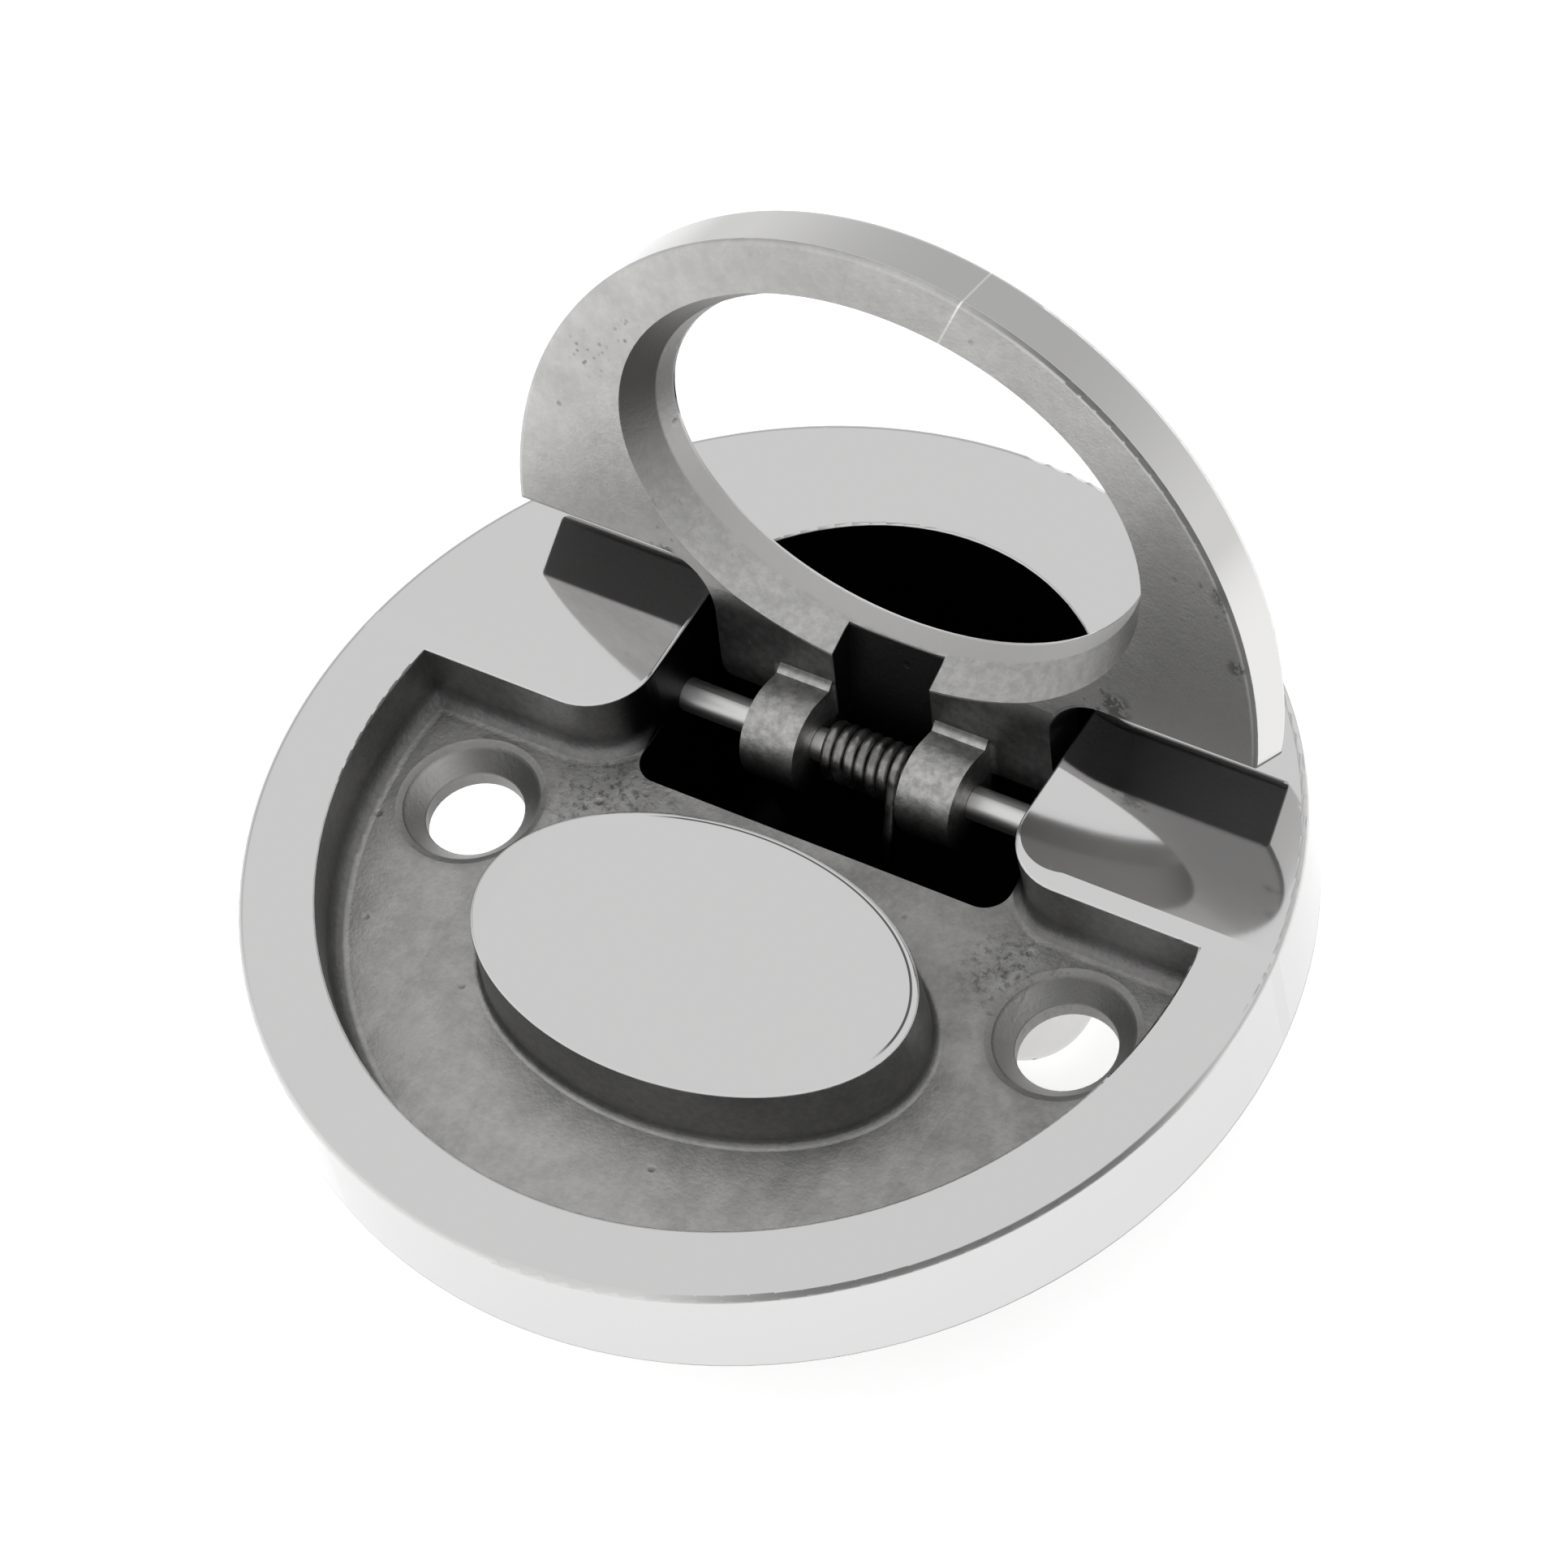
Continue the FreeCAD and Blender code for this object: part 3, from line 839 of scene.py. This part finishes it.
@dataclass(frozen=True)
class PinFinish(Metal):
    """A bright drawn rod with faint lines along it."""

    bright: Colour = (0.74, 0.735, 0.73)
    dull: Colour = (0.66, 0.655, 0.65)

    def layers(self, sheet: Sheet) -> Tuple[Any, Any, Optional[Value]]:
        """Give the pin's colour, roughness and normal.

        Args:
            sheet: the material's node sheet.

        Returns:
            Colour, roughness and bumped normal.
        """
        point, _, _, _ = sheet.place()
        inputs = {"Vector": point, "Scale": (0.06, 1.0, 1.0)}
        stretched = sheet.node("ShaderNodeMapping", {"vector_type": "POINT"}, inputs)
        lines = sheet.noise(stretched, 4.0, 3.0, 0.6)
        colour = sheet.blend(lines, self.dull, self.bright)
        return colour, lines * 0.10 + 0.34, sheet.relief(lines, 0.2, 0.03)


@dataclass(frozen=True)
class SpringFinish(Metal):
    """Dull spring wire with a dark oil film, and painted shade that makes it darkest where it reaches
    into the cup.
    """

    wire: Colour = (0.32, 0.316, 0.312)
    film: Colour = (0.16, 0.155, 0.15)
    # Painted shade for the wire inside the cup.
    cup_shade: Colour = (0.012, 0.012, 0.012)

    def layers(self, sheet: Sheet) -> Tuple[Any, Any, Optional[Value]]:
        """Give the wire's colour, roughness and normal.

        Args:
            sheet: the material's node sheet.

        Returns:
            Colour, roughness and bumped normal.
        """
        point, _, _, z = sheet.place()
        patch = sheet.noise(point, 0.8, 3.0, 0.6).step_up(0.35, 0.65)
        colour = sheet.blend(patch, self.film, self.wire)
        # Painted shade: the wire goes near black where it reaches down into the cup.
        colour = sheet.blend(z.step_down(-0.8, 2.6), colour, self.cup_shade)
        drawn = sheet.noise(point, 6.0, 3.0, 0.6)
        return colour, patch * 0.1 + 0.28, sheet.relief(drawn, 0.2, 0.02)


class Part(Enum):
    """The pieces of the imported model."""

    PLATE = "mounting_plate"
    RING = "pull_ring"
    PIN = "hinge_pin"
    SPRING = "torsion_spring"


@dataclass
class DressedPart:
    """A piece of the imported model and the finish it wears."""

    part: Part
    finish: Metal

    def dress(self) -> bpy.types.Object:
        """Give the piece its material.

        Returns:
            The piece.
        """
        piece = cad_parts[self.part.value]
        piece.data.materials.clear()
        piece.data.materials.append(self.finish.build())
        report.info("%s: %d faces, finish %s", piece.name, len(piece.data.polygons), self.finish.name)
        return piece


@dataclass
class Studio:
    """The pale floor, the soft light and the camera."""

    floor_half: float = 3000.0
    floor_gap: float = 0.2
    floor_white: float = 0.92
    floor_white_far: float = 0.75
    floor_glow: float = 0.46
    floor_glow_far: float = 0.55
    floor_near: float = 90.0
    floor_far: float = 320.0
    sky_front: float = 1.2
    sky_behind: float = 0.98
    sky_dip: float = 0.35
    camera_azimuth: float = 43.3
    camera_elevation: float = 52.23
    camera_roll: float = -15.449
    camera_distance: float = 494.0
    aim_z: float = 8.3
    sensor: float = 36.0
    lens: float = 161.93
    shift_x: float = 0.010637
    shift_y: float = 0.036951

    def floor(self, height: float) -> bpy.types.Object:
        """Lay the floor.

        Args:
            height: the height it lies at, in metres.

        Returns:
            The floor.
        """
        reach = self.floor_half * MM
        mesh = bpy.data.meshes.new("floor")
        flat = [(-reach, -reach), (reach, -reach), (reach, reach), (-reach, reach)]
        mesh.from_pydata([(x, y, height) for x, y in flat], [], [(0, 1, 2, 3)])
        made = bpy.data.objects.new("floor", mesh)
        bpy.context.scene.collection.objects.link(made)
        pale = bpy.data.materials.new("pale_floor")
        pale.use_nodes = True
        sheet = Sheet(pale.node_tree)
        _, x, y, _ = sheet.place()
        far = length(x, y).step_up(self.floor_near, self.floor_far)
        white = sheet.blend(far, (self.floor_white,) * 3, (self.floor_white_far,) * 3)
        glow = sheet.blend(far, (1.0,) * 3, (self.floor_glow_far,) * 3)
        inputs = {"Base Color": white, "Roughness": 0.9}
        inputs.update({"Emission Color": glow, "Emission Strength": self.floor_glow})
        shader = sheet.node("ShaderNodeBsdfPrincipled", None, inputs)
        sheet.node("ShaderNodeOutputMaterial", None, {"Surface": shader})
        mesh.materials.append(pale)
        return made

    def world(self) -> None:
        """Surround the scene with soft white light, brighter low in front and dimmer low behind."""
        sky = bpy.data.worlds.new("studio")
        bpy.context.scene.world = sky
        sky.use_nodes = True
        sheet = Sheet(sky.node_tree)
        _, rear, up = sheet.split(sheet.node("ShaderNodeTexCoord", output="Generated"))
        dip = up.step_up(-0.1, 0.55) * up.step_down(0.5, 0.75)
        behind = self.sky_behind - dip * self.sky_dip
        before = sheet.lerp(up.step_up(0.2, 0.75), self.sky_front, 1.0)
        level = sheet.lerp(rear.step_up(-0.3, 0.4), before, behind)
        back = sheet.node("ShaderNodeBackground", None, {"Color": (1.0, 1.0, 1.0), "Strength": level})
        sheet.node("ShaderNodeOutputWorld", None, {"Surface": back})

    def camera(self) -> bpy.types.Object:
        """Set the camera at the photograph's angle.

        Returns:
            The camera.
        """
        turn, rise = math.radians(self.camera_azimuth), math.radians(self.camera_elevation)
        tilt = math.radians(self.camera_roll)
        level = Vector((math.cos(turn), math.sin(turn), 0.0))
        ahead = Vector((math.sin(turn), -math.cos(turn), 0.0))
        back = ahead * math.cos(rise) + Vector((0.0, 0.0, math.sin(rise)))
        over = back.cross(level)
        right = level * math.cos(tilt) + over * math.sin(tilt)
        above = over * math.cos(tilt) - level * math.sin(tilt)
        data = bpy.data.cameras.new("camera")
        data.sensor_width = self.sensor
        data.lens = self.lens
        data.shift_x = self.shift_x
        data.shift_y = self.shift_y
        data.clip_start = 0.01
        data.clip_end = 20.0
        made = bpy.data.objects.new("camera", data)
        turned = Matrix((right, above, back)).transposed().to_4x4()
        place = back * (self.camera_distance * MM) + Vector((0.0, 0.0, self.aim_z * MM))
        made.matrix_world = Matrix.Translation(place) @ turned
        bpy.context.scene.collection.objects.link(made)
        bpy.context.scene.camera = made
        return made

    def build(self) -> None:
        """Make the whole studio."""
        self.world()
        self.floor(cad_low.z - self.floor_gap * MM)
        self.camera()
        bpy.context.scene.view_settings.view_transform = "Standard"
        report.info("studio: floor at %.1f mm", cad_low.z / MM)


@dataclass
class PullRing:
    """The whole fitting."""

    parts: List[DressedPart] = field(default_factory=lambda: [
        DressedPart(Part.PLATE, PlateFinish("cast_and_polished_plate")),
        DressedPart(Part.RING, RingFinish("cast_and_polished_ring")),
        DressedPart(Part.PIN, PinFinish("bright_pin")),
        DressedPart(Part.SPRING, SpringFinish("spring_wire")),
    ])

    def build(self) -> None:
        """Dress every piece."""
        for part in self.parts:
            part.dress()


def main() -> None:
    """Build the fitting and the studio in order."""
    PullRing().build()
    Studio().build()


if __name__ == "__main__":
    main()
